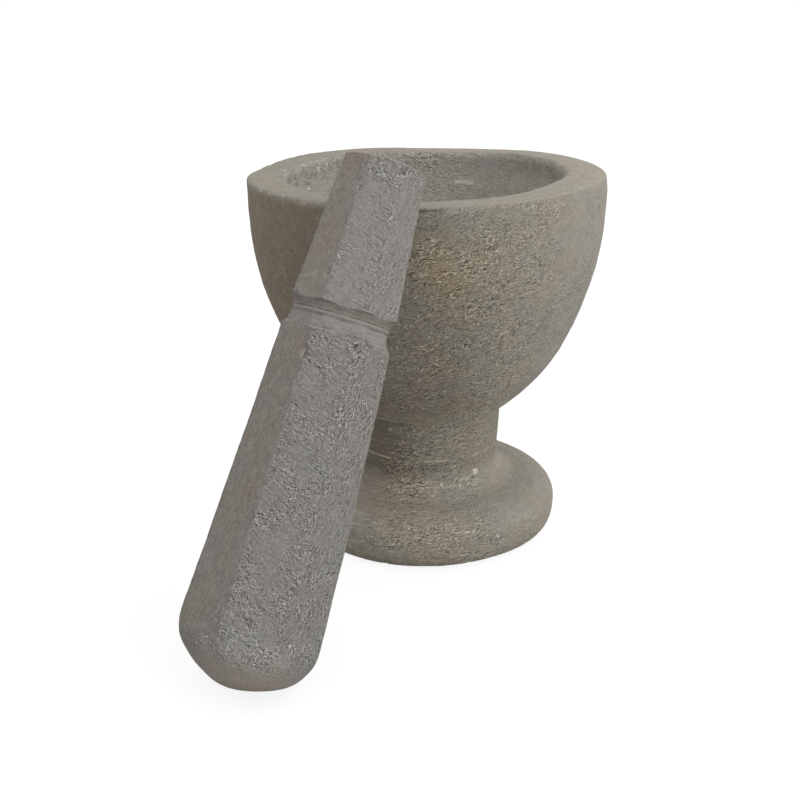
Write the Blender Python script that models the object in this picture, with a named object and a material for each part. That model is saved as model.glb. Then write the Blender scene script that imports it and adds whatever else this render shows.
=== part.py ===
"""Footed stone grinding bowl with an octagonal stone pestle leaning on its rim.

Metres, +Z up. The origin is the middle of the foot's flat underside, and -Y is the front.
"""
from math import acos, ceil, cos, degrees, pi, radians, sin, sqrt

import bmesh
import bpy
import numpy as np
from mathutils import Matrix, Vector

# Bowl, from the floor up
FOOT_RADIUS = 0.0543
FOOT_EDGE_WIDTH = 0.0048
FOOT_EDGE_HEIGHT = 0.0076
SHOULDER_RISE = 0.0175
FLARE_WIDTH = 0.0084
FLARE_HEIGHT = 0.0126
NECK_RADIUS = 0.0295
NECK_HEIGHT = 0.0155
NECK_SPREAD = 0.0012
RIDGE_STEP = 0.0007
BOWL_RADIUS = 0.0700
BOWL_DEPTH = 0.0990
RIM_BAND = 0.0033
RIM_ROUNDING = 0.0014
RIM_WIDTH = 0.0150
LIP_ROUNDING = 0.0012
CAVITY_DEPTH = 0.0734

# Pestle, from the tip of its head up its own axis
PESTLE_LENGTH = 0.1774
GRIP_LENGTH = 0.0550
HEAD_FLATS = 0.0484
BODY_FLATS = 0.0356
GRIP_FLATS = 0.0343
TOP_FLATS = 0.0260
HEAD_ROUNDING = 0.0268
GROOVE_DEPTH = 0.0018
GROOVE_ARC = 0.0078
CROWN_ARC = 0.0400

# How the pestle stands: its tip's place across the front, its lean and its turn
TIP_SIDE = -0.0643
LEAN = radians(25.9)
HEADING = radians(40.0)
TWIST = radians(41.0)
SEAT_GAP = 0.0003

# Fineness: how far a round outline's straight pieces cut inside it, and the steps of a full turn
CHORD_ERROR = 0.0001
BOWL_STEPS = 72
PESTLE_STEPS = 44
TRIM = 0.0010
WELD = 0.000001
SMOOTH_ANGLE = radians(28.0)
SAMPLE_ROWS = 240
SAMPLES_ROUND = 176
SEAT_ROUNDS = 60

FLATS = 8
CORNER_RATIO = 1.0 / cos(pi / FLATS)

# Levels and radii of the bowl that follow from its sizes
FLARE_END = NECK_RADIUS + FLARE_WIDTH
SHOULDER_REACH = FOOT_RADIUS - NECK_RADIUS
FLARE_FOOT = FOOT_EDGE_HEIGHT + SHOULDER_RISE * sqrt(1.0 - (FLARE_WIDTH / SHOULDER_REACH) ** 2)
WAIST = FLARE_FOOT + FLARE_HEIGHT
RIDGE = WAIST + NECK_HEIGHT
NECK_TOP_RADIUS = NECK_RADIUS + NECK_SPREAD
RIDGE_RADIUS = NECK_TOP_RADIUS + RIDGE_STEP
RIDGE_ANGLE = -degrees(acos(RIDGE_RADIUS / BOWL_RADIUS))
WIDEST = RIDGE - BOWL_DEPTH * sin(radians(RIDGE_ANGLE))
RIM = WIDEST + RIM_BAND + RIM_ROUNDING
CAVITY_RADIUS = BOWL_RADIUS - RIM_WIDTH
CAVITY_TOP = RIM - LIP_ROUNDING

# The groove's round cut, and the pestle's width across its flats along its axis
GROOVE_CENTRE = PESTLE_LENGTH - GRIP_LENGTH
GROOVE_FLOOR_RADIUS = BODY_FLATS / 2.0 - GROOVE_DEPTH
GROOVE_HALF_WIDTH = sqrt(GROOVE_DEPTH * (2.0 * GROOVE_ARC - GROOVE_DEPTH))
TAPER = (
    (0.0, HEAD_FLATS),
    (GROOVE_CENTRE - GROOVE_HALF_WIDTH, BODY_FLATS),
    (GROOVE_CENTRE + GROOVE_HALF_WIDTH, GRIP_FLATS),
    (PESTLE_LENGTH, TOP_FLATS),
)


def arc(centre, reach, start, end):
    """Points on an upright ellipse, as (radius, height), for angles in degrees from outwards."""
    finest = degrees(2.0 * acos(1.0 - CHORD_ERROR / max(reach)))
    count = ceil(abs(end - start) / finest)
    angles = [radians(start + (end - start) * i / count) for i in range(count + 1)]
    return [(centre[0] + reach[0] * cos(a), centre[1] + reach[1] * sin(a)) for a in angles]


def bowl_outline():
    """Half section of the bowl, from the middle of the underside over the rim to the cavity's floor."""
    base_radius = FOOT_RADIUS - FOOT_EDGE_WIDTH
    foot_edge = arc((base_radius, FOOT_EDGE_HEIGHT), (FOOT_EDGE_WIDTH, FOOT_EDGE_HEIGHT), -90, 0)
    flare_meets = degrees(acos(FLARE_WIDTH / SHOULDER_REACH))
    shoulder = arc((NECK_RADIUS, FOOT_EDGE_HEIGHT), (SHOULDER_REACH, SHOULDER_RISE), 0, flare_meets)
    flare = arc((FLARE_END, WAIST), (FLARE_WIDTH, FLARE_HEIGHT), 270, 180)
    underside = arc((0, WIDEST), (BOWL_RADIUS, BOWL_DEPTH), RIDGE_ANGLE, 0)
    rim_edge = arc((BOWL_RADIUS - RIM_ROUNDING, RIM - RIM_ROUNDING), (RIM_ROUNDING, RIM_ROUNDING), 0, 90)
    lip = arc((CAVITY_RADIUS + LIP_ROUNDING, CAVITY_TOP), (LIP_ROUNDING, LIP_ROUNDING), 90, 180)
    cavity = arc((0, CAVITY_TOP), (CAVITY_RADIUS, CAVITY_DEPTH - LIP_ROUNDING), 0, -90)
    return ([(0, 0)] + foot_edge + shoulder[1:] + flare[1:] + [(NECK_TOP_RADIUS, RIDGE)]
            + underside + rim_edge + lip + cavity[1:])


def half_flats(height):
    """Distance from the pestle's axis to its flat faces at a height along the axis."""
    heights, widths = zip(*TAPER)
    return np.interp(height, heights, widths) / 2.0


def turned_outline():
    """Half section of the round cuts on the pestle: domed head, groove and crowned top."""
    reach = float(half_flats(HEAD_ROUNDING)) * CORNER_RATIO + TRIM
    dome = arc((0, HEAD_ROUNDING), (reach, HEAD_ROUNDING), -90, 0)
    groove = arc((GROOVE_FLOOR_RADIUS + GROOVE_ARC, GROOVE_CENTRE), (GROOVE_ARC, GROOVE_ARC), 270, 90)
    groove = [(reach, groove[0][1])] + groove + [(reach, groove[-1][1])]
    crown_starts = degrees(acos(min(reach / CROWN_ARC, 1.0)))
    crown = arc((0, PESTLE_LENGTH - CROWN_ARC), (CROWN_ARC, CROWN_ARC), crown_starts, 90)
    return dome + groove + crown


def spun_mesh(name, outline, steps):
    """A closed mesh made by spinning a half section round the upright axis."""
    mesh = bpy.data.meshes.new(name)
    bm = bmesh.new()
    verts = [bm.verts.new((radius, 0.0, height)) for radius, height in outline]
    edges = [bm.edges.new(pair) for pair in zip(verts, verts[1:])]
    bmesh.ops.spin(bm, geom=verts + edges, cent=(0, 0, 0), axis=(0, 0, 1),
                   angle=2 * pi, steps=steps, use_merge=True, use_duplicate=False)
    bmesh.ops.remove_doubles(bm, verts=bm.verts, dist=WELD)
    bmesh.ops.recalc_face_normals(bm, faces=bm.faces)
    bm.to_mesh(mesh)
    bm.free()
    return mesh


def blank_mesh(name):
    """The pestle's eight-sided blank, a little longer than the pestle at both ends."""
    mesh = bpy.data.meshes.new(name)
    bm = bmesh.new()
    heights = [height for height, width in TAPER]
    heights[0] -= TRIM
    heights[-1] += TRIM
    corner = HEAD_FLATS / 2.0 * CORNER_RATIO
    bmesh.ops.create_circle(bm, cap_ends=True, segments=FLATS, radius=corner)
    bmesh.ops.rotate(bm, verts=bm.verts, matrix=Matrix.Rotation(pi / FLATS, 3, 'Z'))
    bmesh.ops.translate(bm, verts=bm.verts, vec=(0, 0, heights[0]))
    ring = bm.edges[:]
    for low, high in zip(heights, heights[1:]):
        grown = bmesh.ops.extrude_edge_only(bm, edges=ring)['geom']
        corners = [item for item in grown if isinstance(item, bmesh.types.BMVert)]
        ring = [item for item in grown if isinstance(item, bmesh.types.BMEdge)
                and all(vert in corners for vert in item.verts)]
        narrowing = float(half_flats(high) / half_flats(low))
        bmesh.ops.translate(bm, verts=corners, vec=(0, 0, high - low))
        bmesh.ops.scale(bm, verts=corners, vec=(narrowing, narrowing, 1))
    bmesh.ops.contextual_create(bm, geom=ring)
    bmesh.ops.recalc_face_normals(bm, faces=bm.faces)
    bm.to_mesh(mesh)
    bm.free()
    return mesh


def stone(name, colour, roughness):
    material = bpy.data.materials.new(name)
    material.use_nodes = True
    shader = material.node_tree.nodes['Principled BSDF']
    shader.inputs['Base Color'].default_value = (*colour, 1.0)
    shader.inputs['Roughness'].default_value = roughness
    shader.inputs['Metallic'].default_value = 0.0
    return material


def add_object(name, mesh, material):
    mesh.shade_smooth()
    mesh.set_sharp_from_angle(angle=SMOOTH_ANGLE)
    mesh.materials.append(material)
    item = bpy.data.objects.new(name, mesh)
    bpy.context.collection.objects.link(item)
    return item


def pestle_samples():
    """Points all over the pestle's surface, in its own frame."""
    outline = np.array(turned_outline())
    rows = np.linspace(0.0, PESTLE_LENGTH, SAMPLE_ROWS)
    heights = np.unique(np.concatenate([rows, outline[:, 1]]))
    angles = np.arange(SAMPLES_ROUND) * 2 * pi / SAMPLES_ROUND
    sector = 2 * pi / FLATS
    off_face = (angles + sector / 2) % sector - sector / 2
    flat = half_flats(heights)[:, None] / np.cos(off_face)[None, :]
    turned = np.interp(heights, outline[:, 1], outline[:, 0])[:, None]
    radius = np.minimum(flat, turned)
    along = np.broadcast_to(heights[:, None], radius.shape)
    return np.stack([radius * np.cos(angles), radius * np.sin(angles), along], axis=2).reshape(-1, 3)


def gap_to_bowl(points, outline):
    """Least distance from points in space to the bowl's surface."""
    flat = np.column_stack([np.hypot(points[:, 0], points[:, 1]), points[:, 2]])
    start = outline[:-1]
    run = outline[1:] - start
    offset = flat[:, None, :] - start
    share = np.clip((offset * run).sum(2) / (run * run).sum(1), 0.0, 1.0)
    miss = offset - share[..., None] * run
    return float(np.sqrt((miss ** 2).sum(2)).min())


def pestle_stance():
    """Turn of the pestle, and the place of its tip when its head is down and its side is at the rim."""
    turn = Matrix.Rotation(-HEADING, 3, 'Z') @ Matrix.Rotation(-LEAN, 3, 'X') @ Matrix.Rotation(TWIST, 3, 'Z')
    points = pestle_samples() @ np.array(turn).T
    outline = np.array(bowl_outline())
    place = np.array([TIP_SIDE, -(BOWL_RADIUS + PESTLE_LENGTH), -points[:, 2].min()])
    for _ in range(SEAT_ROUNDS):
        place[1] += gap_to_bowl(points + place, outline) - SEAT_GAP
    return turn, Vector(place)


def main():
    for item in list(bpy.data.objects):
        bpy.data.objects.remove(item, do_unlink=True)

    bowl_stone = stone('bowl_stone', (0.210, 0.190, 0.155), 0.90)
    add_object('grinding_bowl', spun_mesh('grinding_bowl', bowl_outline(), BOWL_STEPS), bowl_stone)

    turn, place = pestle_stance()
    pestle_stone = stone('pestle_stone', (0.220, 0.205, 0.185), 0.82)
    pestle = add_object('pestle', blank_mesh('pestle'), pestle_stone)
    turning = add_object('pestle_turning', spun_mesh('pestle_turning', turned_outline(), PESTLE_STEPS), pestle_stone)
    turning.hide_render = True
    turning.display_type = 'WIRE'
    for item in (pestle, turning):
        item.location = place
        item.rotation_euler = turn.to_euler()
    cut = pestle.modifiers.new('turned ends and groove', 'BOOLEAN')
    cut.operation = 'INTERSECT'
    cut.solver = 'EXACT'
    cut.object = turning


main()
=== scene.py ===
"""Looks of the footed stone grinding bowl and its octagonal pestle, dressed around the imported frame.

Metres, +Z up, -Y towards the viewer. Run as a script, or read as an add-on: each piece has its operator.
"""
from math import acos, ceil, cos, degrees, hypot, pi, radians, sin

import bmesh
import bpy
import numpy as np
from bpy.props import FloatProperty, FloatVectorProperty, IntProperty
from mathutils import Matrix, Vector, noise
from mathutils.bvhtree import BVHTree
from mathutils.kdtree import KDTree


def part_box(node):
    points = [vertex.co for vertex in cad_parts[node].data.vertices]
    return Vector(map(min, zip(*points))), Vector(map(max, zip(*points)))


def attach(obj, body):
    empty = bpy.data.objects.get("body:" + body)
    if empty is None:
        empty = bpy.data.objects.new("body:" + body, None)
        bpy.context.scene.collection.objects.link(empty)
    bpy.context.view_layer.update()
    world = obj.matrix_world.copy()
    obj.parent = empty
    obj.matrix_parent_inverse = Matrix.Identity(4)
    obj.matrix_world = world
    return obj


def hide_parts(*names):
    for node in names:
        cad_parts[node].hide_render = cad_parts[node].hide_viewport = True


bl_info = {
    "name": "Stone Grinding Bowl",
    "version": (1, 0, 0),
    "blender": (4, 5, 0),
    "location": "View3D > Sidebar > Grinding Bowl",
    "description": "Makes a footed stone grinding bowl with its octagonal stone pestle",
    "category": "Add Mesh",
}

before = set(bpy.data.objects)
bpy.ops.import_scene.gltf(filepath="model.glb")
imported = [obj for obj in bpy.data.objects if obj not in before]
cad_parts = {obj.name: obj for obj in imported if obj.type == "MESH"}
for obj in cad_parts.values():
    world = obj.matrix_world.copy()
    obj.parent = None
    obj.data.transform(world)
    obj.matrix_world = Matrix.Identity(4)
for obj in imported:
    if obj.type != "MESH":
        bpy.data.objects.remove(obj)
BOWL_LOW, BOWL_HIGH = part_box("grinding_bowl")
PESTLE_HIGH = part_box("pestle")[1]

PHOTO_SIDE = 800
LENS_IN_PIXELS = 1159.4
SENSOR = 36.0

MM = 0.001
WELD = 0.000001
FLATS = 8
SECTOR = 2.0 * pi / FLATS
CORNER_RATIO = 1.0 / cos(SECTOR / 2.0)
PIXELS_BETWEEN_MARKS = 2.0
# A radius past the stone, where the groove's tool cuts nothing
UNCUT = 1.0

# The pestle's sides, counted round its axis: how far each stands out in millimetres, how coarse it is,
# how strongly the tool's strokes show on it, and how many degrees they turn from straight across
LEFT_SIDE = 5
SIDE_DRIFT = (0.2, -0.1, 0.1, 0.0, -0.2, 0.1, 0.0, -0.1)
SIDE_ROUGHNESS = (0.35, 0.50, 0.15, 0.40, 0.30, 0.08, 0.58, 0.75)
SIDE_COMBING = (0.5, 0.8, 0.5, 0.9, 0.8, 1.5, 0.8, 1.2)
STROKE_TURNS = (60, -20, 15, -80, 30, 78, -16, 84)


def length(name, default, description):
    return FloatProperty(name=name, description=description, default=default, min=0.0, unit='LENGTH',
                         precision=4)


def turn_angle(name, default, description):
    return FloatProperty(name=name, description=description, default=radians(default), subtype='ANGLE')


def share(name, default, description):
    return FloatProperty(name=name, description=description, default=default, min=0.0, soft_max=1.0)


def exponent(name, default, description):
    return FloatProperty(name=name, description=description, default=default, min=1.0, soft_max=4.0)


def power(name, default, description):
    return FloatProperty(name=name, description=description, default=default, min=0.0, unit='POWER')


def count(name, default, description):
    return IntProperty(name=name, description=description, default=default, min=1)


def colour(name, default, description):
    return FloatVectorProperty(name=name, description=description, default=default, subtype='COLOR', size=3,
                               min=0.0, max=1.0)


class BowlSizes(bpy.types.PropertyGroup):
    """Sizes of the bowl, its neck and its foot."""

    foot_radius: length("Foot radius", 0.0542, "Radius of the foot where it is widest")
    foot_edge_width: length("Foot edge width", 0.0052, "How far the foot's lower edge curves in")
    foot_edge_height: length("Foot edge height", 0.0087, "Height of the foot's widest line")
    shoulder_rise: length("Shoulder rise", 0.0121, "How far the foot's shoulder climbs")
    shoulder_fullness: exponent("Shoulder fullness", 2.85, "Exponent of the shoulder's curve: 2 is round")
    edge_fullness: exponent("Foot edge fullness", 2.5, "Exponent of the foot's lower edge: 2 is round")
    flare_width: length("Flare width", 0.0095, "How far the neck spreads into the foot")
    flare_height: length("Flare height", 0.0098, "Height of the neck's spread into the foot")
    neck_radius: length("Neck radius", 0.0296, "Radius of the neck at its waist")
    neck_spread: length("Neck spread", 0.0013, "How much wider the neck is under the ridge")
    ridge_height: length("Ridge height", 0.0522, "Height of the ridge under the bowl")
    ridge_step: length("Ridge step", 0.0010, "How far the ridge stands out from the neck")
    bowl_radius: length("Bowl radius", (BOWL_HIGH.x - BOWL_LOW.x) / 2.0, "Outer radius of the bowl")
    bowl_depth: length("Bowl depth", 0.0990, "Half height of the ellipse that the outside follows")
    rim_height: length("Rim height", BOWL_HIGH.z, "Height of the level rim above the table")
    rim_rise: length("Rim rise", 0.00085, "How far the hand-cut rim climbs to the right")
    rim_wave: length("Rim wave", 0.0005, "How far the back of the rim strays from level")
    rim_crest: length("Rim crest", 0.0008, "Height of the rim's high place, at the back on the left")
    rim_rounding: length("Rim rounding", 0.0014, "Radius of the rim's outer edge")
    rim_width: length("Rim width", 0.0158, "Width of the flat rim")
    lip_rounding: length("Lip rounding", 0.0028, "Radius of the cavity's edge")
    cavity_shift: length("Cavity shift", 0.0008, "How far the cavity lies to the left of the bowl's axis")
    front_sag: length("Front sag", 0.0012, "How far the rim dips in front")
    cavity_depth: length("Cavity depth", 0.0734, "Depth of the cavity")
    upper_ring: length("Upper ring", 0.0357, "Height of the pale ring at the neck's foot")
    lower_ring: length("Lower ring", 0.0249, "Height of the pale ring on the flare")
    outer_spacing: length("Outer spacing", 0.00105, "Distance between rings of the mesh outside")
    inner_spacing: length("Inner spacing", 0.0012, "Distance between rings of the mesh high in the cavity")
    floor_spacing: length("Floor spacing", 0.0030, "Distance between rings of the mesh low in the cavity")
    steps: count("Steps round", 350, "Steps of the turned mesh")


class PestleSizes(bpy.types.PropertyGroup):
    """Sizes and stance of the pestle."""

    total: length("Length", 0.1774, "From the head's tip to the top")
    grip: length("Grip length", 0.0550, "From the middle of the groove to the top")
    head_flats: length("Head across flats", 0.0484, "Width across the flats at the head")
    body_flats: length("Body across flats", 0.0356, "Width across the flats under the groove")
    grip_flats: length("Grip across flats", 0.0343, "Width across the flats over the groove")
    top_flats: length("Top across flats", 0.0260, "Width across the flats at the top")
    head_rounding: length("Head rounding", 0.0268, "Height of the domed head")
    head_fullness: exponent("Head fullness", 1.93, "Exponent of the dome's curve: 2 is round")
    head_drift: length("Head drift", 0.0034, "How far the worn tip lies to the right of the axis")
    head_blend: length("Head blend", 0.0024, "Width of the soft meeting of flats and dome")
    head_bend: length("Head bend", 0.0005, "How far the head lies to the left of the shank's line")
    tip_wear: length("Tip wear", 0.0009, "Depth of the flat worn under the head")
    wear_tilt: turn_angle("Wear tilt", 34.0, "How far the worn flat faces the viewer, from straight down")
    groove_depth: length("Groove depth", 0.0018, "Depth of the groove under the flats")
    groove_arc: length("Groove arc", 0.0078, "Radius of the groove's section")
    groove_haste: share("Groove haste", 0.45, "How much sooner the groove ends below, on the left")
    step_reach: length("Groove step reach", 0.0052, "Distance from the groove's middle to its upper step")
    step_height: length("Groove step height", 0.0035, "Height of the steep side over the groove")
    step_fullness: exponent("Groove step fullness", 2.6, "Exponent of the steep side's curve: 2 is round")
    crown_arc: length("Crown arc", 0.0400, "Radius of the crowned top")
    lean: turn_angle("Lean", 25.9, "Angle from upright")
    heading: turn_angle("Heading", 40.0, "Way it leans, from straight back towards the right")
    twist: turn_angle("Twist", 41.0, "Turn round its own axis")
    row_spacing: length("Row spacing", 0.00080, "Distance between rings of the mesh")
    groove_spacing: length("Groove spacing", 0.00028, "Distance between rings of the mesh in the groove")
    steps: count("Steps round", 264, "Steps of the mesh round the axis, a multiple of eight")


class StoneColours(bpy.types.PropertyGroup):
    """Colours of the two stones."""

    bowl_warm: colour("Bowl, warm", (0.266, 0.238, 0.194), "Brownish ground of the bowl")
    bowl_cool: colour("Bowl, cool", (0.256, 0.238, 0.199), "Greenish grey ground of the bowl")
    bowl_pale: colour("Bowl, pale grain", (0.62, 0.54, 0.43), "Pale grain of the bowl")
    # The pit colours also paint shade in the bottom of dents
    bowl_dark: colour("Bowl, pits", (0.100, 0.086, 0.066), "Dark pits of the bowl")
    bowl_fresh: colour("Bowl, fresh chips", (0.60, 0.55, 0.46), "Freshly broken stone of the bowl")
    pestle_warm: colour("Pestle, warm", (0.222, 0.204, 0.186), "Mauve ground of the pestle")
    pestle_cool: colour("Pestle, cool", (0.220, 0.211, 0.194), "Grey ground of the pestle")
    pestle_pale: colour("Pestle, pale grain", (0.52, 0.51, 0.48), "Pale grain of the pestle")
    # The pit colours also paint shade in the bottom of dents
    pestle_dark: colour("Pestle, pits", (0.095, 0.088, 0.080), "Dark pits of the pestle")


class StageSettings(bpy.types.PropertyGroup):
    """Camera, lamps and floor."""

    camera_side: FloatProperty(name="Camera side", description="Place across the front", default=-0.01074)
    camera_back: length("Camera distance", 0.4550, "Distance in front of the bowl's axis")
    camera_height: length("Camera height", 0.2178, "Height above the table")
    camera_pitch: turn_angle("Camera pitch", 20.14, "How far the camera looks down")
    camera_roll: turn_angle("Camera roll", -0.31, "Turn of the picture")
    lamp_size: length("Lamp size", 0.90, "Side of each square lamp")
    lamp_reach: length("Lamp distance", 1.50, "Distance of each lamp from the bowl")
    key_power: power("Key lamp", 3.0, "High lamp, in front on the right")
    low_power: power("Low lamp", 9.5, "Low lamp, in front on the right")
    back_power: power("Back lamp", 5.5, "Lamp behind, on the right")
    sky: share("Sky", 0.92, "Strength of the even light from all round")
    floor_bounce: share("Floor bounce", 0.38, "How pale the floor is to the object")
    shadow_depth: share("Shadow depth", 0.22, "Share of the floor's look that the lamps make")


def link_piece(name, bm):
    """An object at the origin that holds a finished bmesh."""
    mesh = bpy.data.meshes.new(name)
    bm.to_mesh(mesh)
    bm.free()
    piece = bpy.data.objects.new(name, mesh)
    bpy.context.scene.collection.objects.link(piece)
    return piece


def read_vectors(source, field):
    values = np.zeros(len(source) * 3, np.float32)
    source.foreach_get(field, values)
    return values.reshape(-1, 3).astype(float)


def read_whole(source, field):
    values = np.zeros(len(source), np.int64)
    source.foreach_get(field, values)
    return values


def points_of(mesh):
    return read_vectors(mesh.vertices, 'co')


def move_points(mesh, points):
    mesh.vertices.foreach_set('co', points.astype(np.float32).ravel())
    mesh.update()


def read_layer(mesh, name):
    values = np.zeros(len(mesh.vertices), np.float32)
    mesh.attributes[name].data.foreach_get('value', values)
    return values.astype(float)


def write_layer(mesh, name, values):
    layer = mesh.attributes.get(name) or mesh.attributes.new(name, 'FLOAT', 'POINT')
    layer.data.foreach_set('value', values.astype(np.float32))


def write_tint(mesh, tint):
    layer = mesh.attributes.new('tint', 'FLOAT_COLOR', 'POINT')
    rows = np.concatenate([tint, np.ones((len(tint), 1))], axis=1)
    layer.data.foreach_set('color', rows.astype(np.float32).ravel())


def noise_at(points, size, seed):
    """Smooth noise from about -1 to 1 at each point, with features of a size in metres."""
    return np.array([noise.noise(spot) for spot in (points / size + seed * 7.31).tolist()])


def rough_at(points, size, seed, octaves=3):
    """Rougher noise, the sum of octaves that halve in size."""
    return sum(noise_at(points, size / 2 ** step, seed + step) / 2 ** step for step in range(octaves))


def from_axis(points):
    """Distance from the Z axis, and the shares of it that lie to the right and to the back."""
    radius = np.hypot(points[:, 0], points[:, 1])
    divisor = np.maximum(radius, MM)
    return radius, points[:, 0] / divisor, points[:, 1] / divisor


def rising(values, low, high):
    """0 up to the low value and 1 from the high one, with a smooth step between."""
    ramp = np.clip((values - low) / (high - low), 0.0, 1.0)
    return ramp * ramp * (3.0 - 2.0 * ramp)


def falling(values, low, high):
    """1 up to the low value and 0 from the high one, with a smooth step between."""
    return rising(-values, -high, -low)


def smooth_least(first, second, width):
    """The smaller of two values, with a soft meeting of a width."""
    near = np.clip(width - np.abs(first - second), 0.0, None) / np.maximum(width, WELD)
    return np.minimum(first, second) - near ** 2 * width / 4.0


def hump(distance, width):
    """A soft bell: 1 at no distance, near 0 past the width."""
    return np.exp(-(distance / width) ** 2)


def arc(centre, reach, start, end, spacing, fullness=2.0):
    """Points on an ellipse, or a fuller curve, as (radius, height), for angles in degrees from outwards."""
    steps = ceil(radians(abs(end - start)) * max(reach) / spacing)
    angles = [radians(start + (end - start) * i / steps) for i in range(steps + 1)]

    def full(value):
        return abs(value) ** (2.0 / fullness) * (1 if value > 0 else -1)

    return [(centre[0] + reach[0] * full(cos(a)), centre[1] + reach[1] * full(sin(a))) for a in angles]


def straight(start, end, spacing):
    """Points along a straight line, with both ends."""
    steps = ceil(hypot(end[0] - start[0], end[1] - start[1]) / spacing)
    return [(start[0] + (end[0] - start[0]) * i / steps, start[1] + (end[1] - start[1]) * i / steps)
            for i in range(steps + 1)]


def chained(*runs):
    """One outline from runs that meet, with each shared point once."""
    outline = []
    for run in runs:
        outline += [point for point in run if not outline or hypot(point[0] - outline[-1][0],
                                                                   point[1] - outline[-1][1]) > WELD]
    return outline


class Mark:
    """A place on the photograph, in its pixels, and what the stone shows there, with sizes in millimetres."""

    def __init__(self, across, down, size, depth=0.0, fresh=0.0, coarse=0.0, tint=None):
        self.pixel = (across, down)
        self.size = size * MM
        self.depth = depth * MM
        self.fresh = fresh
        self.coarse = coarse
        self.tint = tint


def chips(*rows):
    """Dents and chips. Each row is across, down, size and depth, then how fresh and how much coarser."""
    return [Mark(*row) for row in rows]


def grains(*rows):
    """Pale places without depth. Each row is across, down, size and how pale."""
    return [Mark(*place, 0.0, pale) for *place, pale in rows]


def patches(*rows):
    """Wide patches. Each row is across, down, size, how much coarser and, where it differs, the tint."""
    return [Mark(*row[:3], 0.0, 0.0, *row[3:]) for row in rows]


def scratch(start, end, size, depth=0.0, fresh=0.0):
    """Marks side by side from one pixel to another."""
    return [Mark(*place, size, depth, fresh) for place in straight(start, end, PIXELS_BETWEEN_MARKS)]


# What a tint multiplies the stone's red, green and blue by
OCHRE = (1.15, 1.04, 0.89)
SANDY = (1.05, 1.00, 0.95)
REDDISH = (1.05, 0.97, 0.91)
BLUISH = (0.96, 1.00, 1.03)
GREENISH = (0.95, 0.99, 0.97)
DARKER = (0.99, 0.96, 0.93)
PALER = (1.15, 1.15, 1.14)
PINKISH = (1.07, 1.01, 1.00)
# Brownish and lighter: partly the stone's tone, partly painted light under the pestle's head
BROWNISH_PAINTED_LIGHT = (1.08, 1.03, 0.98)
SHADOWED = (0.84, 0.84, 0.84)

# Marks placed where the photograph shows them, from the bowl's wall to the pestle's head
WALL_SPECKS = ((430, 338), (431, 350), (470, 214), (510, 221), (568, 221), (492, 226), (481, 236.5),
               (497, 251), (479, 300), (490, 297), (456, 316), (418, 316.5), (410.5, 327), (514, 328),
               (485, 337))
WALL_MARKS = (
    *patches((430, 254, 13, 0.35, OCHRE), (446, 283, 12, 0.35, OCHRE),
             (470, 262, 14, 0.3, (1.03, 0.99, 0.92)), (500, 290, 16, 0.1),
             (455, 310, 20, 0.05, (0.95, 0.93, 0.9)), (416, 282, 12, 0.0, SANDY),
             (440, 222, 12, -0.1, GREENISH), (500, 226, 12, 0.0, GREENISH), (495, 270, 14, 0.0, PINKISH),
             (430, 352, 20, 0.1, DARKER), (400, 400, 26, 0.0, DARKER), (440, 380, 18, 0.0, DARKER),
             (460, 404, 12, 0.0, REDDISH), (468, 345, 12, 0.15, GREENISH), (512, 338, 10, 0.1, PINKISH),
             (530, 325, 12, 0.0, BLUISH), (563, 330, 10, 0.0, (1.02, 0.98, 1.04)), (575, 240, 18, -0.2)),
    *chips((432, 341, 1.8, 0.15, 1.2), (527, 234, 1.4, 0.5), (505, 269, 1.4, 0.5), (488, 264.5, 1.4, 0.55),
           (556, 260, 1.3, 0.45)),
    *scratch((420, 212), (441, 211.6), 1.1, depth=0.45),
    *grains((537, 204, 2.0, 0.8), *((*place, 1.6, 1.1) for place in WALL_SPECKS)),
)
FOOT_MARKS = (
    *patches((440, 470, 12, 0.15, BLUISH), (455, 500, 12, 0.2, BLUISH), (460, 530, 12, 0.1),
             (503, 505, 14, -0.2, BLUISH), (400, 470, 14, 0.55, (1.04, 1.02, 1.00)),
             (400, 500, 16, 0.45, (1.1, 1.04, 1.00)), (410, 530, 16, 0.25, (1.07, 1.05, 1.02)),
             (440, 548, 12, 0.2, (1.04, 1.00, 0.95)), (505, 462, 14, -0.3, (1.05, 1.02, 0.98)),
             (530, 490, 16, -0.3)),
    *chips((437, 525, 1.3, 0.6), (442, 511, 1.3, 0.6), (455.6, 509.5, 1.4, 0.6), (489, 524, 1.2, 0.5)),
    *grains((461, 486.6, 2.1, 1.3), (442.5, 485, 2.1, 1.3), (450, 502, 2.1, 1.2), (456, 519.5, 2.1, 1.3),
            (498.5, 535.6, 2.1, 1.4), (475.5, 471, 3.0, 1.6), (500, 492, 8, 0.2)),
    *scratch((468, 484), (478, 482), 1.8, fresh=1.0),
)
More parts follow.
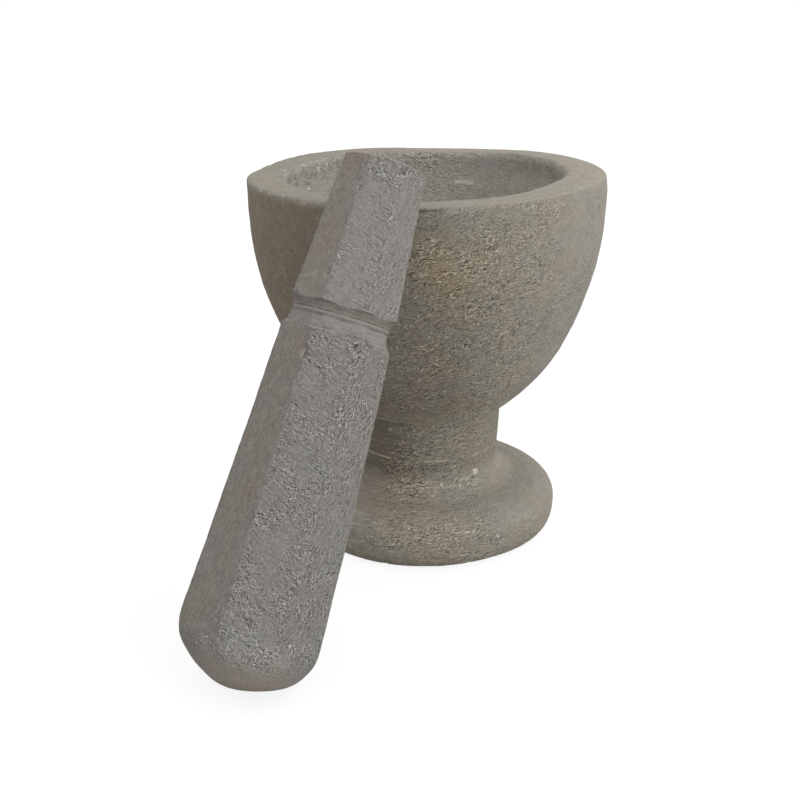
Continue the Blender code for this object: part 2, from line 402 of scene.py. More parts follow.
RIM_MARKS = (
    *patches((553, 171, 7.0, 0.0, (0.9, 0.86, 0.81)), (540, 168, 6.0, 0.0, (0.95, 0.92, 0.88))),
    *chips((282, 195, 2.2, 0.25, 1.0), (297, 200, 2.4, 0.6, 0.5), (303, 202, 2.2, 0.3, 1.0),
           (318, 203, 2.2, 0.25, 0.9), (477, 168, 1.6, 0.6), (300, 185, 2.4, 0.6), (318, 176, 1.6, 0.8),
           (291, 181, 1.8, 0.7), (326, 178, 1.4, 0.9), (329.5, 167.5, 1.2, 0.8),
           (430, 156, 2.0, 0.0, 1.0, 0.5), (480, 155, 2.5, 0.0, 0.9, 0.5), (296, 176, 7.0, 0.0, 0.6, 0.3),
           (310, 180, 7.0, 0.0, 0.6, 0.3), (322, 170, 7.0, 0.0, 0.6, 0.3)),
    *grains((481, 186, 2.1, 1.4), (496, 172, 2.0, 0.9), (311, 188.5, 2.3, 1.6), (320, 169.5, 2.3, 1.6),
            (328.5, 165, 2.3, 1.6), (305, 164, 2.2, 1.5), (285, 169.5, 2.4, 1.5)),
    *scratch((258, 190), (270, 193), 1.8, depth=0.1, fresh=0.9),
    *scratch((458, 181.3), (474, 183), 1.8, fresh=1.8),
)
BOWL_MARKS = WALL_MARKS + FOOT_MARKS + RIM_MARKS

TOP_MARKS = (
    *chips((405, 173, 1.3, 1.2), (402, 170, 1.1, 0.9), (400, 173.5, 0.9, 0.8),
           (385, 165, 8.0, 0.0, 0.5, 0.6), (410, 172, 7.0, 0.0, 0.3, 0.5), (400, 166.5, 1.1, 0.15, 1.0),
           (397.5, 175.5, 1.1, 0.15, 1.3), (391, 164.5, 1.2, 0.15, 1.0), (382, 169, 1.0, 0.15, 1.2),
           (373, 159.5, 1.2, 0.15, 1.2)),
    *grains((377, 175, 1.0, 1.1), (373, 173, 1.0, 1.1), (421, 178.5, 1.2, 1.2)),
)
GRIP_MARKS = (
    *chips((410, 200, 1.6, 0.5, 0.2), (407, 207, 1.5, 0.5, 0.2), (402, 213, 1.3, 0.4, 0.3),
           (416, 186, 1.6, 0.3, 0.9), (396, 225, 1.2, 0.35), (381, 245, 1.3, 0.35), (378, 252, 1.2, 0.3),
           (382, 241, 1.0, 0.3), (339, 257, 1.7, 0.2, 1.0), (336, 263, 1.7, 0.2, 0.8),
           (349, 226, 1.5, 0.15, 0.8), (295, 292, 1.2, 0.6), (365, 306.5, 0.7, 0.7),
           (366.5, 309, 0.7, 0.6)),
    *grains((345, 250, 5.0, 0.35), (360, 235, 8.0, 0.15)),
)
SHANK_MARKS = (
    *patches((310, 345, 5.0, 0.4), (325, 362, 6.0, 0.4), (341, 405, 6.0, 0.5), (333, 430, 7.0, 0.5),
             (320, 480, 7.0, 0.3), (290, 500, 9.0, 0.3)),
    # The first three chips paint shadow into a chipped recess on the shank
    *chips((360, 350, 3.6, 0.06, 0.0, 0.5, SHADOWED), (355, 361, 2.6, 0.06, 0.0, 0.5, SHADOWED),
           (368, 346, 3.0, 0.06, 0.0, 0.4, (0.88, 0.88, 0.88)), (380, 352, 1.6, 0.15, 0.0, 0.5),
           (343.5, 388, 1.7, 0.5), (340, 406, 1.7, 0.5)),
    *grains((356, 342.5, 1.2, 1.0), (363, 342.5, 1.1, 1.0), (363, 357.5, 1.2, 1.2), (368, 354.5, 1.1, 1.2),
            (341, 397, 1.5, 0.9), (337, 412, 1.5, 0.8)),
    *scratch((343, 334.5), (368, 341), 1.0, depth=0.45),
    *scratch((368, 341), (384, 347), 1.0, depth=0.2),
    *scratch((253, 500), (267, 503.5), 1.1, depth=-0.05, fresh=0.9),
    *scratch((324, 515), (319, 546), 0.8, fresh=0.55),
    *scratch((331, 440), (326, 500), 0.8, fresh=0.35),
)
HEAD_MARKS = (
    # The brownish patches under the head are partly painted light
    *patches((288, 600, 7.0, 0.4), (205, 645, 5.0, 0.0, PALER), (240, 655, 12, 0.3, PALER),
             (275, 660, 10, 0.3, PALER), (235, 682, 14, 0.0, BROWNISH_PAINTED_LIGHT), (270, 686, 12, 0.0, BROWNISH_PAINTED_LIGHT),
             (205, 660, 8, 0.0, BROWNISH_PAINTED_LIGHT)),
    *chips((198, 643, 1.8, 0.2, 0.9), (207, 637, 1.8, 0.2, 0.8), (215, 631, 1.6, 0.2, 0.9),
           (225, 620, 1.6, 0.15, 0.7), (235, 665, 1.8, 0.2, 0.8), (268, 651, 1.8, 0.2, 0.8)),
    *grains((205, 645, 5.0, 0.3)),
)
PESTLE_MARKS = TOP_MARKS + GRIP_MARKS + SHANK_MARKS + HEAD_MARKS


def spin_outline(outline, steps):
    """A closed bmesh turned from a half section, with each vertex's distance along the section."""
    bm = bmesh.new()
    along = bm.verts.layers.float.new('along')
    verts = []
    travelled = 0.0
    for i, (radius, height) in enumerate(outline):
        if i:
            travelled += hypot(radius - outline[i - 1][0], height - outline[i - 1][1])
        vert = bm.verts.new((radius, 0.0, height))
        vert[along] = travelled
        verts.append(vert)
    edges = [bm.edges.new(pair) for pair in zip(verts, verts[1:])]
    bmesh.ops.spin(bm, geom=verts + edges, cent=(0, 0, 0), axis=(0, 0, 1),
                   angle=2 * pi, steps=steps, use_merge=True, use_duplicate=False)
    bmesh.ops.remove_doubles(bm, verts=bm.verts, dist=WELD)
    bmesh.ops.recalc_face_normals(bm, faces=bm.faces)
    return bm


class Sight:
    """The photograph's camera, for finding what a pixel shows."""

    def __init__(self, piece):
        camera = bpy.context.scene.camera
        if camera is None:
            raise RuntimeError("make the stage first: its camera says where the marks are")
        self.place = camera.matrix_world.translation
        self.turn = camera.matrix_world.to_3x3()
        mesh = piece.data
        self.tree = BVHTree.FromPolygons([v.co for v in mesh.vertices], [p.vertices for p in mesh.polygons])

    def spot(self, pixel):
        """The point of the piece that a pixel shows."""
        across = (pixel[0] - PHOTO_SIDE / 2) / LENS_IN_PIXELS
        down = (pixel[1] - PHOTO_SIDE / 2) / LENS_IN_PIXELS
        found = self.tree.ray_cast(self.place, self.turn @ Vector((across, -down, -1.0)))[0]
        if found is None:
            raise RuntimeError(f"no stone under pixel {pixel}")
        return found


class Surface:
    """The fields that dents, chips and tints are gathered in, one value for each vertex."""

    def __init__(self, mesh):
        self.points = points_of(mesh)
        self.normals = read_vectors(mesh.vertex_normals, 'vector')
        self.out, self.hollow, self.fresh, self.coarse = np.zeros((4, len(self.points)))
        self.tint = np.ones((len(self.points), 3))
        self.plant_tree()

    def plant_tree(self):
        self.tree = KDTree(len(self.points))
        for i, point in enumerate(self.points.tolist()):
            self.tree.insert(point, i)
        self.tree.balance()

    def stand(self, mesh, turn, place):
        """Takes the surface and its mesh from the piece's own frame to its stance."""
        self.points = self.points @ turn.T + place
        self.normals = self.normals @ turn.T
        self.plant_tree()
        move_points(mesh, self.points)

    def near(self, place, reach):
        """Vertices within a reach of a place, with how central each is from 0 to 1."""
        found = self.tree.find_range(place, reach)
        index = np.array([item[1] for item in found], int)
        distance = np.array([item[2] for item in found])
        return index, (1.0 - (distance / reach) ** 2) ** 2

    def dent(self, place, size, depth, fresh):
        index, weight = self.near(place, size)
        if len(index):
            self.out[index] -= depth * weight
            self.hollow[index] += depth / MM * weight
            self.fresh[index] = np.maximum(self.fresh[index], fresh * weight)

    def mark(self, sight, marks):
        for item in marks:
            place = sight.spot(item.pixel)
            self.dent(place, item.size, item.depth, item.fresh)
            index, weight = self.near(place, item.size)
            self.coarse[index] += item.coarse * weight
            if item.tint:
                self.tint[index] *= 1.0 + (np.array(item.tint) - 1.0) * weight[:, None]

    def scatter(self, rng, where, amount, sizes, depths, fresh):
        """Dents at chance places, more of them where the weights are larger."""
        chosen = rng.choice(len(self.points), amount, p=where / where.sum())
        for i in chosen:
            size = rng.uniform(*sizes) * MM
            self.dent(self.points[i], size, rng.uniform(*depths) * MM, fresh * rng.uniform(0.0, 1.0) ** 2)

    def shade(self, *shades):
        """Colours the surface. Each shade is how much lies where, then its factor or three for RGB."""
        for amount, factors in shades:
            self.tint *= 1.0 + amount[:, None] * (np.array(factors) - 1.0)

    def finish(self, mesh):
        move_points(mesh, self.points + self.normals * self.out[:, None])
        write_layer(mesh, 'fresh', self.fresh)
        write_layer(mesh, 'hollow', np.clip(self.hollow, 0.0, 1.0))
        write_layer(mesh, 'coarse', np.clip(self.coarse, 0.0, 1.2))
        write_tint(mesh, self.tint)


def add_node(tree, kind, inputs=None, **settings):
    """A shader node with its settings, each input given a value or another node's output."""
    node = tree.nodes.new('ShaderNode' + kind)
    for name, value in settings.items():
        setattr(node, name, value)
    for key, value in (inputs or {}).items():
        source = value.socket if isinstance(value, Field) else value
        if isinstance(source, bpy.types.NodeSocket):
            tree.links.new(source, node.inputs[key])
        else:
            node.inputs[key].default_value = source
    return node


class Field:
    """A node's output over the surface, with arithmetic that adds its own nodes."""

    def __init__(self, tree, socket):
        self.tree = tree
        self.socket = socket

    def math(self, operation, other=0.0):
        node = add_node(self.tree, 'Math', {0: self, 1: other}, operation=operation)
        return Field(self.tree, node.outputs[0])

    def __add__(self, other):
        return self.math('ADD', other)

    def __sub__(self, other):
        return self.math('SUBTRACT', other)

    def __mul__(self, other):
        return self.math('MULTIPLY', other)

    def fade(self, low, high, start=0.0, end=1.0):
        """The value brought smoothly from one range to another."""
        inputs = {'Value': self, 'From Min': low, 'From Max': high, 'To Min': start, 'To Max': end}
        node = add_node(self.tree, 'MapRange', inputs, interpolation_type='SMOOTHSTEP')
        return Field(self.tree, node.outputs[0])

    def line(self, at, width):
        """1 where the value is at a level, falling to 0 a width away."""
        return (self - at).math('ABSOLUTE').fade(0.0, width, 1.0, 0.0)


class StoneNodes:
    """A stone material's node tree, with short ways to add what the stones use."""

    def __init__(self, name, roughness):
        self.material = bpy.data.materials.new(name)
        self.material.use_nodes = True
        self.tree = self.material.node_tree
        self.shader = self.tree.nodes['Principled BSDF']
        self.shader.inputs['Roughness'].default_value = roughness
        self.shader.inputs['Specular IOR Level'].default_value = 0.25
        self.place = self.add('TexCoord', output='Object')

    def add(self, kind, inputs=None, output=0, **settings):
        return Field(self.tree, add_node(self.tree, kind, inputs, **settings).outputs[output])

    def layer(self, name, output='Fac'):
        return self.add('Attribute', output=output, attribute_type='GEOMETRY', attribute_name=name)

    def joined(self, across, depth, height):
        return self.add('CombineXYZ', {0: across, 1: depth, 2: height})

    def stretched(self, vector, scale=(1.0, 1.0, 1.0), shift=(0.0, 0.0, 0.0)):
        return self.add('Mapping', {'Vector': vector, 'Scale': scale, 'Location': shift})

    def grain(self, vector, size, detail=2.0, roughness=0.6, distortion=0.0):
        """Noise with features of a size in metres, from 0 to 1."""
        inputs = {'Vector': vector, 'Scale': 1.0 / size, 'Detail': detail, 'Roughness': roughness,
                  'Distortion': distortion}
        return self.add('TexNoise', inputs, 'Fac')

    def emboss(self, vector, size, distortion, shift, gain):
        """Grain as a low lamp shows it, light on one side of each crumb and dark on the other."""
        moved = self.stretched(vector, shift=shift)
        here, there = (self.grain(place, size, 2.0, 0.62, distortion) for place in (vector, moved))
        return (here - there) * gain

    def mix(self, factor, first, second, blend='MIX'):
        sockets = {0: factor, 6: first, 7: second}
        inputs = {key: value if isinstance(value, (float, Field)) else (*value, 1.0)
                  for key, value in sockets.items()}
        return self.add('Mix', inputs, 2, data_type='RGBA', blend_type=blend, clamp_factor=True)

    def coated(self, ground, *coats):
        """The ground with coats on it. Each is where it lies, how strong it is and its colour."""
        for amount, strength, paint in coats:
            ground = self.mix(amount * strength, ground, paint)
        return ground

    def ground(self, size, low, high, cool, warm, shade):
        """The stone's own two colours, with the tints of the marks, lighter or darker by a factor."""
        ground = self.mix(self.grain(self.place, size, 3.0, 0.5).fade(low, high), cool, warm)
        for factor in (self.layer('tint', 'Color'), self.add('CombineColor', {0: shade, 1: shade, 2: shade})):
            ground = self.mix(1.0, ground, factor, 'MULTIPLY')
        return ground

    def weather(self, ground, pale, dark):
        """Pale flecks where the stone is freshly broken, and dark painted shade in the bottom of dents."""
        flecks = (self.grain(self.place, 0.0008) + self.layer('fresh') * 0.36).fade(0.78, 0.85)
        dent_shade = (self.grain(self.place, 0.0006) + self.layer('hollow') * 0.55).fade(0.76, 0.92)
        return self.coated(ground, (dent_shade, 0.75, dark), (flecks, 0.85, pale)), flecks

    def finish(self, ground, height, distance):
        bump = add_node(self.tree, 'Bump', {'Strength': 1.0, 'Distance': distance, 'Height': height})
        self.tree.links.new(ground.socket, self.shader.inputs['Base Color'])
        self.tree.links.new(bump.outputs[0], self.shader.inputs['Normal'])
        return self.material


def bowl_stone(colours, sizes):
    """Matt brownish grey stone, torn into pits and pale strokes where it is coarse, with turned lines; its
    crumbs get painted light and shade.
    """
    stone = StoneNodes("turned_stone", 0.92)
    place = stone.place
    across, depth, height = (stone.add('SeparateXYZ', {0: place}, axis) for axis in 'XYZ')
    along = stone.layer('along')
    turned = stone.joined(across, depth, along * 1.2)
    wide = stone.stretched(turned, (0.75, 0.75, 1.0))

    rough = stone.layer('coarse') * stone.grain(turned, 0.0060, 2.0, 0.5).fade(0.38, 0.60, 0.55, 1.2)
    fine = stone.grain(turned, 0.0009, 3.0, 0.7)
    mottle = stone.grain(turned, 0.0040, 3.0)
    torn = stone.grain(stone.stretched(turned, shift=(0.1, 0.2, 0.3)), 0.0016, distortion=0.5)
    strokes = stone.grain(wide, 0.0011, 2.0, 0.55, 1.2)
    # Painted light and shade on the crumbs: light on one side of each, dark on the other
    crumb_light_and_shade = stone.emboss(wide, 0.0015, 1.2, (-0.00022, 0.0, 0.00045), 4.3) * rough
    pits = torn.fade(0.41, 0.33) * rough
    crests = strokes.fade(0.54, 0.60) * rough

    ringed = stone.layer('ringed')
    ring_grain = stone.grain(stone.joined(across * 0.10, depth * 0.10, along), 0.0008, 3.0, 0.7)
    rings = ring_grain.fade(0.3, 0.7, -1.0, 1.0) * ringed
    ring_bits = ring_grain.fade(0.58, 0.66) * stone.grain(turned, 0.0022).fade(0.50, 0.60) * ringed
    tall = stone.joined(across, depth, along * 0.10)
    streaks = stone.grain(tall, 0.0011).fade(0.52, 0.66) * stone.layer('streaky')
    broken = stone.grain(stone.stretched(place, (1.0, 1.0, 0.3)), 0.0080, 3.0).fade(0.44, 0.56)
    turned_lines = (height.line(sizes.ridge_height + 0.6 * MM, 1.0 * MM) * 1.2
                    + height.line(sizes.upper_ring, 0.8 * MM) * (broken * 1.3)
                    + height.line(sizes.lower_ring, 0.6 * MM) * (broken * 0.6))

    shade = mottle.fade(0.25, 0.75, 0.90, 1.10) + fine.fade(0.25, 0.75, -0.10, 0.10) + rings * 0.08 + crumb_light_and_shade
    ground = stone.ground(0.016, 0.38, 0.62, colours.bowl_cool, colours.bowl_warm, shade)
    pale, dark = colours.bowl_pale, colours.bowl_dark
    ground = stone.coated(ground, (streaks, 0.07, pale), (crests, 0.62, pale), (pits, 0.30, dark),
                          (ring_bits, 0.50, pale), (turned_lines, 0.45, pale))
    ground, flecks = stone.weather(ground, colours.bowl_fresh, dark)
    relief = fine * 0.4 + rings * 0.10 + pits * -0.8 + crests * 0.5 + flecks * 0.3
    return stone.finish(ground, relief, 0.9 * MM)


def pestle_stone(colours, sizes):
    """Matt grey stone, dressed flat with a tool that leaves short strokes across each side."""
    stone = StoneNodes("dressed_stone", 0.88)
    place = stone.place
    flat = stone.add('UVMap', uv_map='dressing')
    wide = stone.stretched(flat, (0.75, 1.0, 1.0))

    rough = stone.layer('coarse') * stone.grain(place, 0.0060, 2.0, 0.5).fade(0.40, 0.60, 0.35, 1.3)
    fine = stone.grain(place, 0.0008, 3.0, 0.7)
    mottle = stone.grain(place, 0.0040, 3.0)
    lines = stone.grain(stone.stretched(flat, (0.18, 1.0, 1.0)), 0.0006, distortion=0.3)
    chipped = stone.grain(wide, 0.0009, distortion=1.0)
    crest = stone.grain(stone.stretched(wide, shift=(0.2, 0.3, 0.1)), 0.0008, 2.0, 0.55, 1.0)
    # Painted light and shade on the crumbs: light on one side of each, dark on the other
    crumb_light_and_shade = stone.emboss(wide, 0.0010, 1.3, (0.0001, 0.0003, 0.0), 4.1) * rough
    pits = chipped.fade(0.40, 0.34) * rough
    crests = crest.fade(0.55, 0.61) * rough
    combed = lines.fade(0.3, 0.7, -1.0, 1.0) * stone.layer('combed')

    reach = stone.layer('reach')
    middle = sizes.total - sizes.grip
    bits = stone.grain(place, 0.0030).fade(0.35, 0.65, 0.3, 1.5)
    ring_grain = stone.grain(stone.joined(0.0, 0.0, reach), 0.0006)
    rings = ring_grain.fade(0.3, 0.7, -1.0, 1.0) * (stone.layer('grooved') * bits)
    # Painted shade in the groove's sunk line, and a painted highlight just above it
    sunk = reach.line(middle + 0.5 * MM, 0.4 * MM) * bits
    lit = reach.line(middle + 1.2 * MM, 0.4 * MM) * bits

    shade = (mottle.fade(0.25, 0.75, 0.93, 1.07) + fine.fade(0.25, 0.75, -0.18, 0.18) + combed * 0.08
             + rings * 0.38 + crumb_light_and_shade)
    ground = stone.ground(0.018, 0.36, 0.64, colours.pestle_cool, colours.pestle_warm, shade)
    pale, dark = colours.pestle_pale, colours.pestle_dark
    ground = stone.coated(ground, (crests, 0.55, pale), (pits, 0.22, dark), (sunk, 0.36, dark),
                          (lit, 0.30, pale))
    ground, flecks = stone.weather(ground, pale, dark)
    relief = fine * 0.3 + combed * 0.12 + rings * 0.15 + pits * -0.8 + crests * 0.4 + flecks * 0.3
    return stone.finish(ground, relief, 0.8 * MM)


def bowl_outline(sizes):
    """Half section of the bowl, from the middle of the underside over the rim to the cavity's floor."""
    outer = sizes.outer_spacing
    neck, bowl, ridge, rim = sizes.neck_radius, sizes.bowl_radius, sizes.ridge_height, sizes.rim_height
    edge_width, edge_height = sizes.foot_edge_width, sizes.foot_edge_height
    flare_width, flare_height = sizes.flare_width, sizes.flare_height
    rounding, lip = sizes.rim_rounding, sizes.lip_rounding
    fullness = sizes.shoulder_fullness
    reach = sizes.foot_radius - neck
    base = sizes.foot_radius - edge_width
    flare_share = flare_width / reach
    flare_foot = sizes.shoulder_rise * (1.0 - flare_share ** fullness) ** (1.0 / fullness)
    waist = edge_height + flare_foot + flare_height
    ridge_angle = -degrees(acos((neck + sizes.neck_spread + sizes.ridge_step) / bowl))
    widest = ridge - sizes.bowl_depth * sin(radians(ridge_angle))
    cavity = bowl - sizes.rim_width
    hollow = (0, rim - lip), (cavity, sizes.cavity_depth - lip)
    return chained(
        straight((0, 0), (base, 0), sizes.floor_spacing * 2),
        arc((base, edge_height), (edge_width, edge_height), -90, 0, outer, sizes.edge_fullness),
        arc((neck, edge_height), (reach, sizes.shoulder_rise),
            0, degrees(acos(flare_share ** (fullness / 2.0))), outer, fullness),
        arc((neck + flare_width, waist), (flare_width, flare_height), 270, 180, outer),
        straight((neck, waist), (neck + sizes.neck_spread, ridge), outer),
        arc((0, widest), (bowl, sizes.bowl_depth), ridge_angle, 0, outer),
        straight((bowl, widest), (bowl, rim - rounding), outer),
        arc((bowl - rounding, rim - rounding), (rounding, rounding), 0, 90, outer / 2),
        straight((bowl - rounding, rim), (cavity + lip, rim), outer),
        arc((cavity + lip, rim - lip), (lip, lip), 90, 180, outer / 2),
        arc(*hollow, 0, -36, sizes.inner_spacing),
        arc(*hollow, -36, -90, sizes.floor_spacing),
    )


def lift_rim(mesh, sizes):
    """Gives the level rim its hand-cut slope: it climbs to the right, and dips in front."""
    points = points_of(mesh)
    radius, right, back = from_axis(points)
    front = rising(-back, 0.45, 0.95)
    inner = falling(radius, 0.056, 0.066)
    lift = sizes.rim_rise * (0.9 + right - 0.25 * back) - front * sizes.front_sag * (1.0 + 0.5 * inner)
    wave = np.cos(4.0 * (np.arctan2(points[:, 1], points[:, 0]) - radians(80.0)))
    lift -= sizes.rim_wave * wave * rising(back, -0.1, 0.3)
    lift += sizes.rim_crest * hump(np.hypot(right + 0.81, back - 0.59), 0.3)
    lift *= rising(points[:, 2], 0.6 * sizes.rim_height, sizes.rim_height)
    write_layer(mesh, 'lift', lift)
    points[:, 2] += lift
    move_points(mesh, points)


def dress_bowl(mesh, sizes):
    """Turning rings, wobble, pits, chips and tints of the bowl, with painted light and shade over its parts.
    """
    surface = Surface(mesh)
    points = surface.points
    along = read_layer(mesh, 'along')
    radius, right, back = from_axis(points)
    left = rising(-right, 0.2, 0.7)
    height = points[:, 2] - read_layer(mesh, 'lift')
    rim, ridge = sizes.rim_height, sizes.ridge_height
    cavity_radius = sizes.bowl_radius - sizes.rim_width
    facing_in = surface.normals[:, 2] - surface.normals[:, 0] * right - surface.normals[:, 1] * back > 0.0
    hollowed = facing_in * (height > 0.06)
    inside = falling(radius, cavity_radius + 0.1 * MM, cavity_radius + 2.0 * MM) * hollowed
    outside = 1.0 - inside
    on_rim = rising(height, rim - 0.5 * MM, rim - 0.1 * MM)
    neck = rising(height, 0.025, 0.032) * falling(height, 0.050, 0.054)
    under = height < 0.1 * MM

    points[:, 0] -= sizes.cavity_shift * hollowed * falling(radius, cavity_radius, cavity_radius + 6.0 * MM)
    turned = np.stack([right * 0.6, back * 0.6, along / (1.4 * MM)], axis=1)
    rings = noise_at(turned, 1.0, 1.0) * 0.045 + noise_at(turned * (0.7, 0.7, 0.35), 1.0, 2.0) * 0.06
    wobble = noise_at(points, 45 * MM, 3.0) * 0.30 + noise_at(points, 18 * MM, 4.0) * 0.14
    lumps = rough_at(points, 5 * MM, 5.0) * 0.075
    surface.out += (rings + wobble * outside + lumps) * MM
    swells = (
        (-0.45, rising(-right, 0.5, 0.95) * rising(height, 0.112, 0.135)),
        (0.30, rising(-right, 0.5, 0.95) * hump(height - 0.102, 0.010)),
        (0.35, rising(right, 0.5, 0.95) * hump(height - 0.115, 0.012)),
        (0.45, rising(right, 0.5, 0.95) * hump(height - 0.073, 0.010)),
    )
    for amount, where in swells:
        surface.out += amount * MM * where * outside

    edge_distance = np.hypot(radius - sizes.bowl_radius, height - rim)
    worn = rising(right, -0.3, 0.8)
    sharp = 1.0 - 0.6 * worn
    arris_chips = np.clip(rough_at(points, 3.2 * MM, 6.0) - 0.15, 0.0, 1.0)
    surface.out -= hump(edge_distance, 3.5 * MM) * worn * 0.8 * MM
    surface.out -= hump(edge_distance, 1.5 * MM) * arris_chips * sharp * 0.9 * MM
    broken = np.clip(arris_chips * 1.6 + 0.30, 0.0, 1.0)
    surface.fresh += hump(edge_distance, 1.6 * MM) * broken * sharp * 0.6

    patchy = rough_at(points, 20 * MM, 7.0, 2)
    belly = rising(height, 0.050, 0.060) * falling(height, 0.120, rim - 0.008)
    low_belly = rising(height, 0.050, 0.056) * falling(height, 0.070, 0.085)
    smoother = 0.38 * rising(right, 0.45, 0.90) + 0.45 * left
    coarse = 0.45 + 0.20 * patchy + 0.15 * (belly + low_belly) - smoother
    cavity = 0.60 + 0.35 * patchy - 0.40 * rising(right, 0.0, 0.8) - 0.35 * rising(-right, 0.4, 0.8)
    surface.coarse = np.where(inside > 0.5, cavity, coarse * (1.0 - 0.7 * on_rim) * (1.0 + 0.2 * neck))
    ringed = (falling(height, 0.052, 0.066) + 0.35) * (1.0 - 0.7 * rising(right, 0.2, 0.7))
    write_layer(mesh, 'ringed', ringed)
    write_layer(mesh, 'streaky', rising(-right, 0.25, 0.8) * outside * (1.0 - on_rim) * (height > 0.055))

    rng = np.random.default_rng(11)
    chance = np.clip(surface.coarse, 0.02, 1.0)
    surface.scatter(rng, chance * outside * ~under, 900, (0.9, 2.0), (0.10, 0.35), 0.5)
    surface.scatter(rng, chance * inside, 300, (1.0, 2.6), (0.10, 0.35), 0.8)
    surface.mark(Sight(bpy.data.objects[mesh.name]), BOWL_MARKS)
    wall = outside * rising(height, 0.050, 0.060) * falling(height, rim - 3.0 * MM, rim - 1.0 * MM)
    deep = inside * falling(height, rim - 14.0 * MM, rim - 2.0 * MM)
    foot = outside * falling(height, 0.024, 0.030)
    below_bowl = falling(height, ridge - 0.7 * MM, ridge + 0.8 * MM)
    surface.shade(
        # Painted light in the cavity, with a bluer tone, lighter again on the inner wall towards the right,
        # where it lies in shade
        (inside, (1.10, 1.16, 1.26)),
        (deep * (1.0 + 0.4 * rising(right, 0.0, 0.8)), (1.24, 1.22, 1.20)),
        # Painted light on the rim's top, stronger to the right, and a little painted shade on its front
        (on_rim * rising(right, -0.3, 0.2), 1.12),
        (on_rim * rising(-back, 0.5, 0.9), (0.95, 0.96, 0.96)),
        # Painted light on the lower right of the belly
        (rising(right, 0.2, 0.6) * outside * hump(height - 0.072, 0.014), 1.09),
        # Painted shade on the wall: darker and browner to the left, away from the light, and darker in front
        (wall * left, (0.80, 0.73, 0.66)),
        (wall * hump(right + 0.05, 0.5), 0.82),
        (wall * rising(right, 0.6, 0.9), (1.00, 1.02, 1.06)),
        # Painted shade on the neck, under the bowl's overhang
        (neck, (0.86, 0.84, 0.81)),
        # Painted light on the bowl's underside just above the ridge
        (outside * hump(height - ridge - 2.8 * MM, 6.0 * MM) * (1.0 - below_bowl), (1.30, 1.28, 1.24)),
        # Painted shadow of the pestle on the left of the neck
        (rising(-right, -0.10, 0.55) * rising(height, 0.016, 0.030) * below_bowl, (0.70, 0.68, 0.66)),
        # The foot a little darker on the right, and painted light on its shaded left
        (foot * rising(right, 0.3, 0.8), (0.94, 0.95, 0.96)),
        (foot * (1.0 - rising(right, 0.0, 0.6)), (1.07, 1.06, 1.06)),
    )
    surface.out[under] = 0.0
    surface.finish(mesh)


def half_flats(sizes, height):
    """Distance from the pestle's axis to its flat sides, at heights along the axis."""
    middle = sizes.total - sizes.grip
    half_width = (sizes.groove_depth * (2.0 * sizes.groove_arc - sizes.groove_depth)) ** 0.5
    stations = [0.0, middle - half_width, middle + half_width, sizes.total]
    widths = [sizes.head_flats, sizes.body_flats, sizes.grip_flats, sizes.top_flats]
    return np.interp(height, stations, widths) / 2.0


def pestle_outline(sizes):
    """Half section of the round blank that the pestle is cut from, from its domed head to its crowned top."""
    spacing = sizes.row_spacing
    reach = float(half_flats(sizes, sizes.head_rounding)) * CORNER_RATIO + MM
    middle = sizes.total - sizes.grip
    groove_low, groove_high = middle - sizes.groove_arc, middle + sizes.groove_arc
    crown_reach = float(half_flats(sizes, sizes.total)) * CORNER_RATIO + MM
    crown_start = degrees(acos(crown_reach / sizes.crown_arc))
    crown_centre = (0, sizes.total - sizes.crown_arc)
    crown = arc(crown_centre, (sizes.crown_arc, sizes.crown_arc), crown_start, 90, spacing)
    return chained(
        arc((0, sizes.head_rounding), (reach, sizes.head_rounding), -90, 0, spacing, sizes.head_fullness),
        straight((reach, sizes.head_rounding), (reach, groove_low), spacing),
        straight((reach, groove_low), (reach, groove_high), sizes.groove_spacing),
        straight((reach, groove_high), (reach, crown[0][1] - spacing / 2), spacing),
        crown,
    )


def octagon_radius(sizes, points, sharpness, drift):
    """Radius of the eight-sided shank at each point, with worn arrises; drift moves each side in or out."""
    angles = np.arctan2(points[:, 1], points[:, 0])
    half = half_flats(sizes, points[:, 2])
    faces = np.arange(FLATS) * SECTOR
    facing = np.cos(angles[:, None] - faces[None, :]).clip(WELD, None)
    pull = facing / (half[:, None] + drift)
    exponent = sharpness[:, None]
    largest = pull.max(axis=1, keepdims=True)
    summed = ((pull / largest) ** exponent).sum(axis=1, keepdims=True) ** (1.0 / exponent)
    return 1.0 / (largest * summed)[:, 0]


def groove_radius(sizes, height, left):
    """Radius of the turned groove: a round cut with fine sunk lines, shorter below on the left."""
    from_middle = height - (sizes.total - sizes.grip)
    below = np.where(from_middle < 0.0, 1.0 + sizes.groove_haste * left, 1.0)
    reach = np.minimum(np.abs(from_middle) * below, sizes.groove_arc)
    floor_radius = sizes.body_flats / 2.0 - sizes.groove_depth
    cut = floor_radius + sizes.groove_arc - np.sqrt(sizes.groove_arc ** 2 - reach ** 2)
    full = sizes.step_fullness
    climb = np.clip(from_middle / sizes.step_reach, 0.0, 1.0) ** full
    step = floor_radius + sizes.step_height * (1.0 - (1.0 - climb) ** (1.0 / full))
    cut = np.where(from_middle > 0.0, step, cut)
    cut = np.where(from_middle > sizes.step_reach, UNCUT, cut)
    sunk = 0.24 * hump(from_middle - 0.6 * MM, 0.40 * MM) + 0.10 * hump(from_middle - 2.4 * MM, 0.4 * MM)
    return np.where(np.abs(from_middle) < sizes.groove_arc, cut - sunk * MM, UNCUT)


def half_way_up_crown(sizes):
    """A height between the crown's edge and its middle, over the arrises' ends."""
    edge = float(half_flats(sizes, sizes.total))
    return sizes.total - sizes.crown_arc + (sizes.crown_arc ** 2 - (edge * 0.97) ** 2) ** 0.5


